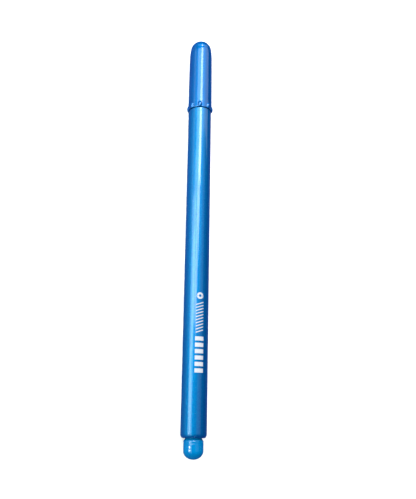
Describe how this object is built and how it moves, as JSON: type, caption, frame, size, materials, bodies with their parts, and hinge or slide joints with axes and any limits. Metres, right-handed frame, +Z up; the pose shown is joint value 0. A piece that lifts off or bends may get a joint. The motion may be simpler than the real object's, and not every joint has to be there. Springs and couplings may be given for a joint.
{
  "type": "fineliner pen",
  "caption": "Slim capped fineliner: straight metallic-blue body, domed tail plug, and a round-ended push-on cap with rounded anti-roll lugs at its mouth.",
  "frame": {"origin": "on the surface the pen lies on, under the middle of its length and under its axis", "axes": "+Y along the pen towards the cap's domed end, +Z up, with the cap resting on two of its lugs"},
  "size_m": [0.0098, 0.165, 0.0097],
  "materials": {
    "body_blue": "satin",
    "cap_blue": "gloss",
    "plug_azure": "gloss",
    "liner_white": "satin",
    "sleeve_steel": "polished",
    "nib_fibre": "matte",
    "ink_fibre": "matte",
    "film_clear": "gloss"
  },
  "bodies": {
    "pen": {"barrel_tube": "body_blue", "end_plug": "plug_azure", "nib_section": "plug_azure", "nib_sleeve": "sleeve_steel", "nib": "nib_fibre", "reservoir_core": "ink_fibre", "reservoir_film": "film_clear"},
    "cap": {"cap_shell": "cap_blue", "cap_liner": "liner_white"}
  },
  "joints": [
    {"name": "cap_slide", "type": "slide", "parent": "pen", "child": "cap", "axis": [0, 1, 0], "range_m": [0, 0.045]}
  ]
}
